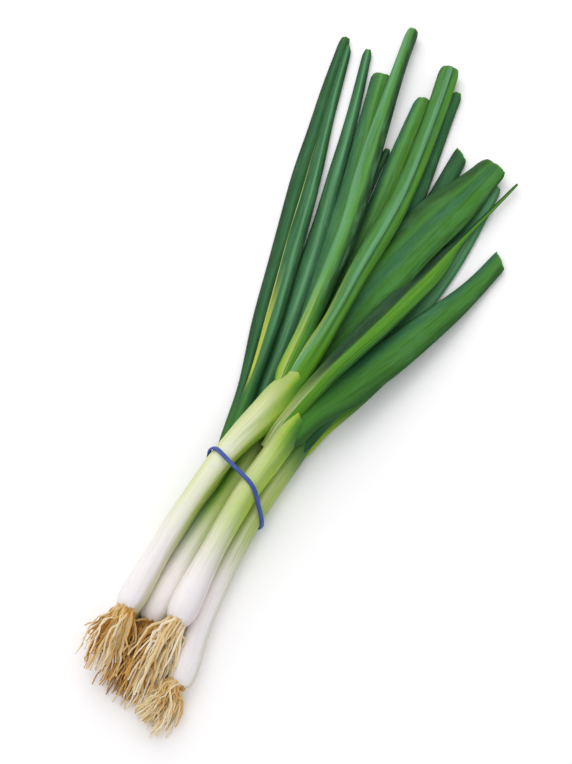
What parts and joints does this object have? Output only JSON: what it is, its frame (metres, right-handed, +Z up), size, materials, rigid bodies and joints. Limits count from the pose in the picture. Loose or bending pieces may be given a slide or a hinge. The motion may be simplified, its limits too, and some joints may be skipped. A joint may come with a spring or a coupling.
{
  "type": "spring onion bunch",
  "caption": "Slim spring onions with white bulbs, fibrous roots and trimmed hollow green leaves, held by a thin rubber band and lying flat.",
  "frame": {"origin": "on the surface that the bunch lies on, under the middle of its box", "axes": "+Y along the stems from the roots to the leaves, +Z up, +X to the right seen from the roots"},
  "size_m": [0.1, 0.3038, 0.0211],
  "materials": {
    "stem": "smooth moist plant skin, white at the bulb and yellow-green at the leaves",
    "leaf": "smooth green leaf with a pale waxy bloom",
    "roots": "dry straw-coloured root fibres",
    "band": "satin blue rubber"
  },
  "bodies": {
    "root": {"onion_1_stem": "stem", "onion_1_roots": "roots", "onion_1_leaf_1": "leaf", "onion_1_leaf_2": "leaf", "onion_2_stem": "stem", "onion_2_roots": "roots", "onion_2_leaf_1": "leaf", "onion_2_leaf_2": "leaf", "onion_3_stem": "stem", "onion_3_roots": "roots", "onion_3_leaf_1": "leaf", "onion_3_leaf_2": "leaf", "onion_3_leaf_3": "leaf", "onion_3_leaf_4": "leaf", "onion_4_stem": "stem", "onion_4_roots": "roots", "onion_4_leaf_1": "leaf", "onion_4_leaf_2": "leaf", "onion_4_leaf_3": "leaf", "onion_4_leaf_4": "leaf", "onion_5_stem": "stem", "onion_5_roots": "roots", "onion_5_leaf_1": "leaf", "onion_5_leaf_2": "leaf", "onion_5_leaf_3": "leaf", "rubber_band": "band"}
  },
  "joints": []
}
